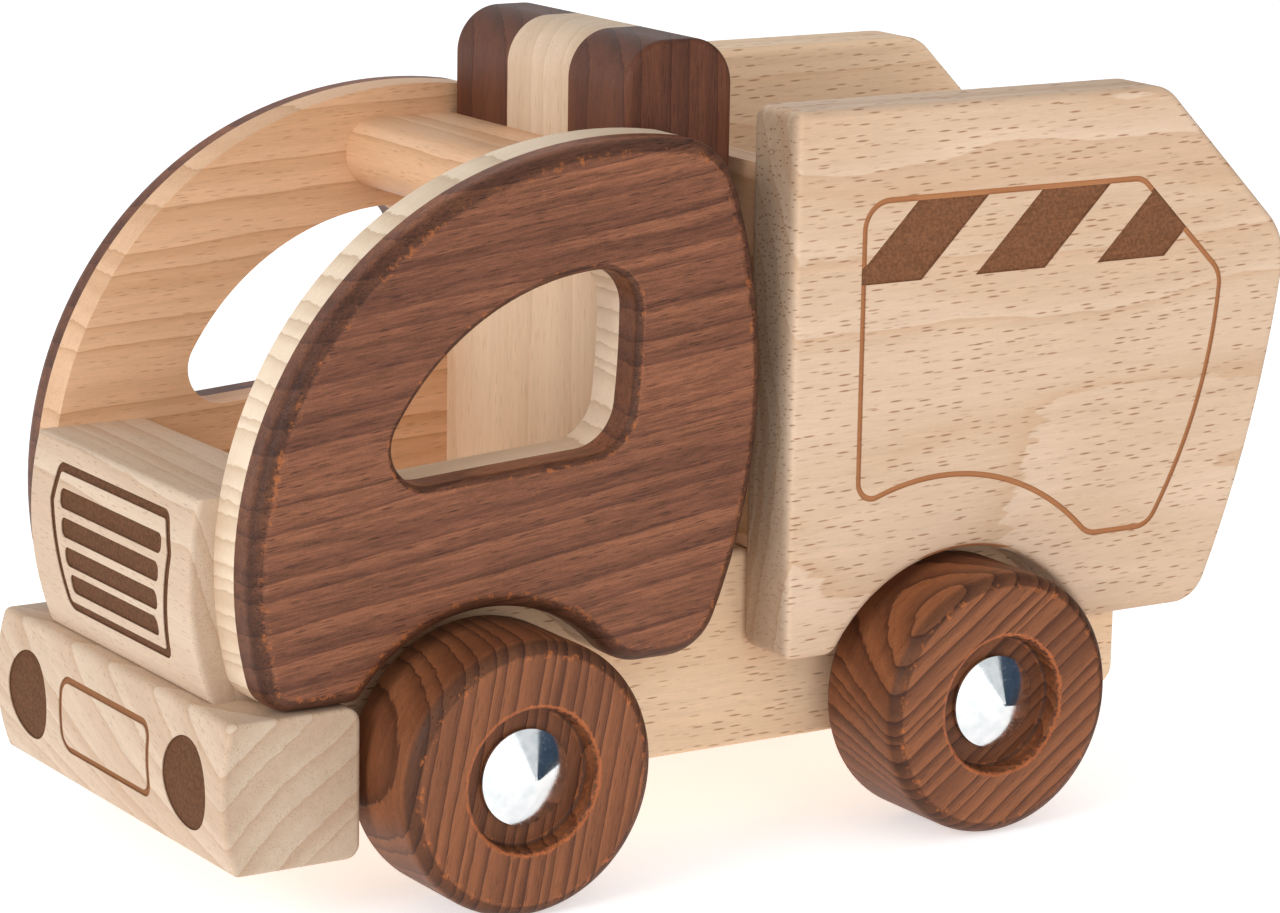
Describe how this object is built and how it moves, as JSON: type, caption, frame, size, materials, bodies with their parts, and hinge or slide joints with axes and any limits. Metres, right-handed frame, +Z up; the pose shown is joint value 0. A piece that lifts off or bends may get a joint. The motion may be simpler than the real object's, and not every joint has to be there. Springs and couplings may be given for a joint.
{
  "type": "toy dump truck",
  "caption": "Wooden toy truck with a dark curved two-layer cab, open windows, a roof block, a boxy pale tipping hopper, dark turned wheels and steel axle caps.",
  "frame": {"origin": "on the ground plane, under the middle of the truck's length and width", "axes": "+Z up, -Y towards the bumper and +Y towards the tailboard, +X towards the truck's own left side"},
  "size_m": [0.1132, 0.2114, 0.1367],
  "materials": {
    "light_beech": "pale oiled beech, satin, with burnt marks",
    "dark_beech": "heat-darkened wood, satin",
    "dowel_beech": "plain beech dowel",
    "bright_steel": "bright polished steel"
  },
  "bodies": {
    "chassis": {"chassis_beam": "light_beech", "front_bumper": "light_beech", "grille_block": "light_beech", "cab_side_inner_left": "light_beech", "cab_side_inner_right": "light_beech", "cab_side_outer_left": "dark_beech", "cab_side_outer_right": "dark_beech", "roof_bar": "light_beech", "cab_rear_wall": "light_beech", "roof_block_left": "dark_beech", "roof_block_middle": "light_beech", "roof_block_right": "dark_beech", "wheel_spacer_front_left": "light_beech", "wheel_spacer_front_right": "light_beech", "wheel_spacer_rear_left": "light_beech", "wheel_spacer_rear_right": "light_beech", "bumper_dowels": "dowel_beech", "cab_dowels": "dowel_beech", "roof_block_dowels": "dowel_beech"},
    "front_axle_group": {"front_axle": "bright_steel", "hub_cap_front_left": "bright_steel", "hub_cap_front_right": "bright_steel"},
    "rear_axle_group": {"rear_axle": "bright_steel", "hub_cap_rear_left": "bright_steel", "hub_cap_rear_right": "bright_steel"},
    "front_left_wheel": {"wheel_front_left": "dark_beech"},
    "front_right_wheel": {"wheel_front_right": "dark_beech"},
    "rear_left_wheel": {"wheel_rear_left": "dark_beech"},
    "rear_right_wheel": {"wheel_rear_right": "dark_beech"},
    "hopper": {"hopper_side_left": "light_beech", "hopper_side_right": "light_beech", "hopper_front_board": "dark_beech", "hopper_floor": "light_beech", "tipping_pivot": "dowel_beech", "flap_pin": "dowel_beech", "hopper_dowels": "dowel_beech"},
    "tailboard": {"rear_flap": "light_beech"}
  },
  "joints": [
    {"name": "front_axle_turn", "type": "hinge", "parent": "chassis", "child": "front_axle_group", "pos_m": [0, -0.05633, 0.023], "axis": [1, 0, 0], "continuous": true},
    {"name": "front_left_wheel_turn", "type": "hinge", "parent": "front_axle_group", "child": "front_left_wheel", "pos_m": [0.0437, -0.05633, 0.023], "axis": [1, 0, 0], "continuous": true},
    {"name": "front_right_wheel_turn", "type": "hinge", "parent": "front_axle_group", "child": "front_right_wheel", "pos_m": [-0.0437, -0.05633, 0.023], "axis": [1, 0, 0], "continuous": true},
    {"name": "rear_axle_turn", "type": "hinge", "parent": "chassis", "child": "rear_axle_group", "pos_m": [0, 0.03697, 0.023], "axis": [1, 0, 0], "continuous": true},
    {"name": "rear_left_wheel_turn", "type": "hinge", "parent": "rear_axle_group", "child": "rear_left_wheel", "pos_m": [0.0437, 0.03697, 0.023], "axis": [1, 0, 0], "continuous": true},
    {"name": "rear_right_wheel_turn", "type": "hinge", "parent": "rear_axle_group", "child": "rear_right_wheel", "pos_m": [-0.0437, 0.03697, 0.023], "axis": [1, 0, 0], "continuous": true},
    {"name": "hopper_tip", "type": "hinge", "parent": "chassis", "child": "hopper", "pos_m": [0, 0.07276, 0.0405], "axis": [-1, 0, 0], "range_deg": [0, 45]},
    {"name": "tailboard_swing", "type": "hinge", "parent": "hopper", "child": "tailboard", "pos_m": [0, 0.08717, 0.1035], "axis": [1, 0, 0], "range_deg": [0, 80]}
  ]
}
